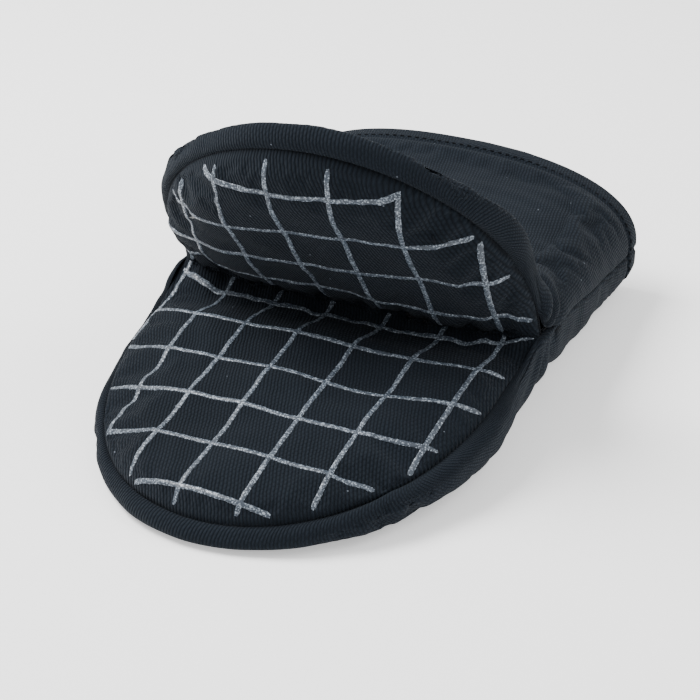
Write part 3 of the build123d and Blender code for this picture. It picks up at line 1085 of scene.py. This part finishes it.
hem = {
    "start": cuffEnd - cuff["hemWidth"],
    "profileY": [0.0, 0.3, 1.2, 3.5, 6.5, 8.3, 9.1, 9.3, 9.1, 8.2, 5.0, 1.0, 0.0],
    "profileOut": [-1.2, 0.7, 1.15, 1.15, 0.95, 0.5, -0.8, -3.2, -5.6, -7.2, -7.6, -7.6, -7.0],
}
hemCount = 420
startY = fingerLobe["originY"]
hemT = (hem["start"] - startY) / (cuffEnd - endGap - startY)
baseRing, ringLength = evenRing(endRing(1.0), hemCount)
startRing = evenRing(endRing(hemT), hemCount)[0]
outDirection = ringOut(baseRing)
flip = np.sign((outDirection * (baseRing - baseRing.mean(0))).sum())
outDirection = outDirection * flip
rows = []
for y, out in zip(hem["profileY"], hem["profileOut"]):
    share = y / 9.3
    middle = startRing * (1 - share) + baseRing * share
    middle = middle.copy()
    middle[:, 1] = hem["start"] + y - 0.15
    pucker = 0.14 * np.sin(ringLength / 3.0 * 2 * np.pi) * np.exp(-((y - 0.9) / 1.2) ** 2)
    soft = 0.3 * ripple(baseRing, 26.0, 12)
    rows.append(middle + outDirection * (out + pucker + soft * min(1, y / 3))[:, None])
hemPoints = np.stack(rows, 0)
hemPoints[..., 2] = np.maximum(hemPoints[..., 2], 0.0)
i, j = np.meshgrid(np.arange(len(rows)), np.arange(hemCount), indexing="ij")
k, m = (i + 1) % len(rows), (j + 1) % hemCount
hemFaces = np.stack([i * hemCount + j, i * hemCount + m, k * hemCount + m, k * hemCount + j], -1)
hemFaces = hemFaces.reshape(-1, 4)
hemUv = np.stack(np.broadcast_arrays(ringLength[None, :], np.array(hem["profileY"])[:, None]), -1)
if flip > 0:
    hemFaces = hemFaces[:, ::-1]
pieces["hemBand"] = makeMesh("hemBand", hemPoints, hemFaces, hemUv)
dress(pieces["hemBand"], hemTwill, ["cuff_hem"])

# hem stitches: short slanted bars, each a stretched six-sided capsule
stitch = {"pitch": 3.0, "length": 2.2, "radius": 0.32, "inset": 1.3}
stitchCount = int(ringLength[-1] // stitch["pitch"])
atRing = (np.arange(stitchCount) + 0.5) * hemCount / stitchCount
index = np.floor(atRing).astype(int) % hemCount
nextIndex = (index + 1) % hemCount
share = (atRing % 1)[:, None]
middle = hemPoints[2][index] * (1 - share) + hemPoints[2][nextIndex] * share
ahead = unit(hemPoints[2][nextIndex] - hemPoints[2][index])
outward = outDirection[index]
sideways = np.cross(ahead, outward)
along = np.array([-1.0, -0.8, -0.4, 0.0, 0.4, 0.8, 1.0])
fat = np.array([0.15, 0.8, 1.0, 1.0, 1.0, 0.8, 0.15])
sink = np.array([-0.5, -0.1, 0.1, 0.15, 0.1, -0.1, -0.5])
turn = np.linspace(0, 2 * np.pi, 6, endpoint=False)
upward = (fat[:, None] * np.sin(turn)[None, :] * stitch["radius"])[None, :, :, None]
sidewise = (fat[:, None] * np.cos(turn)[None, :] * stitch["radius"])[None, :, :, None]
bars = (
    middle[:, None, None]
    + ahead[:, None, None] * (along * stitch["length"] / 2)[None, :, None, None]
    + outward[:, None, None] * (sink[None, :, None, None] + upward)
    + sideways[:, None, None] * sidewise
)
sides = len(turn)
i, j = np.meshgrid(np.arange(len(along) - 1), np.arange(sides), indexing="ij")
k, m = i + 1, (j + 1) % sides
barFace = np.stack([i * sides + j, i * sides + m, k * sides + m, k * sides + j], -1).reshape(-1, 4)
barFaces = (barFace[None] + (np.arange(stitchCount) * len(along) * sides)[:, None, None]).reshape(-1, 4)
barUv = np.zeros((stitchCount, len(along), sides, 2))
barUv[..., 0] = along[None, :, None]
barUv[..., 1] = turn[None, None, :]
pieces["hemStitches"] = makeMesh("hemStitches", bars.reshape(-1, 3), barFaces[:, ::-1], barUv)
dress(pieces["hemStitches"], threadDarkWithShade, ["cuff_hem_stitching"])
print("hem made")

# the gathered fold in the crease

fold = {"radius": 2.0}
x = np.linspace(-mouth["cornerX"] + mouth["skew"] + 4, mouth["cornerX"] + mouth["skew"] - 4, 260)
line = creaseLine(x) + np.array([0, 2.6, 0.2])
line[:, 2] += 0.8 * np.sin(x * 0.31)
line[:, 1] += 0.7 * np.sin(x * 0.47 + 1)
thick = fold["radius"] * (1 + 0.25 * np.sin(x * 0.9) + 0.15 * np.sin(x * 1.7 + 1))
pieces["creaseFold"] = makeTube("creaseFold", line, thick, 16)
dress(pieces["creaseFold"], palmTwill, ["palm_crease_fold"])

# the lobe pieces get their transforms baked in, and the cuff pieces follow the cuff

for lobeName, side in (("finger", "bottom"), ("thumb", "top")):
    for part in ("Palm", "PalmFilling", "PalmLining"):
        bend(pieces[lobeName + part], lobeName)
    for part in ("Cover", "Filling", "Lining"):
        bend(pieces[side + part], lobeName)
    for part in ("Print", "RimSeam"):
        bend(pieces[lobeName + part], lobeName)
for name in ("leftSideSeam", "rightSideSeam", "hemBand", "hemStitches", "creaseFold"):
    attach(pieces[name], "cuff")


def plain(name, colour, roughness=0.9):
    material = bpy.data.materials.new(name)
    material.use_nodes = True
    shader = material.node_tree.nodes["Principled BSDF"]
    shader.inputs["Base Color"].default_value = (*colour, 1)
    shader.inputs["Roughness"].default_value = roughness
    return material


# stage
bpy.ops.mesh.primitive_plane_add(size=6)
floor = bpy.context.object
floor.name = "floor"
floor.data.materials.append(plain("floorPaper", (0.9, 0.9, 0.9)))
paper = floor.data.materials[0].node_tree.nodes["Principled BSDF"]
paper.inputs["Emission Color"].default_value = (1, 1, 1, 1)
paper.inputs["Emission Strength"].default_value = 0.5
world = bpy.data.worlds.new("softWorld")
bpy.context.scene.world = world
world.use_nodes = True
world.node_tree.nodes["Background"].inputs[0].default_value = (1, 1, 1, 1)
world.node_tree.nodes["Background"].inputs[1].default_value = 0.8
for name, place, power, size in (("key", (-0.6, -0.1, 0.9), 24, 0.6), ("fill", (0.8, 0.3, 0.8), 7, 0.8)):
    data = bpy.data.lights.new(name, "AREA")
    data.energy = power
    data.size = size
    lamp = bpy.data.objects.new(name, data)
    lamp.location = place
    lamp.rotation_euler = (-Vector(place)).to_track_quat("-Z", "Y").to_euler()
    bpy.context.scene.collection.objects.link(lamp)
camera = bpy.data.objects.new("camera", bpy.data.cameras.new("camera"))
camera.location = (0.2653, -0.5301, 0.3407)
camera.data.lens = 102.86
camera.data.sensor_width = 36
elevation, azimuth = np.radians(29), np.radians(26)
look = Vector((-np.sin(azimuth) * np.cos(elevation), np.cos(azimuth) * np.cos(elevation), -np.sin(elevation)))
camera.rotation_euler = look.to_track_quat("-Z", "Y").to_euler()
camera.data.clip_start = 0.01
bpy.context.scene.collection.objects.link(camera)
bpy.context.scene.camera = camera
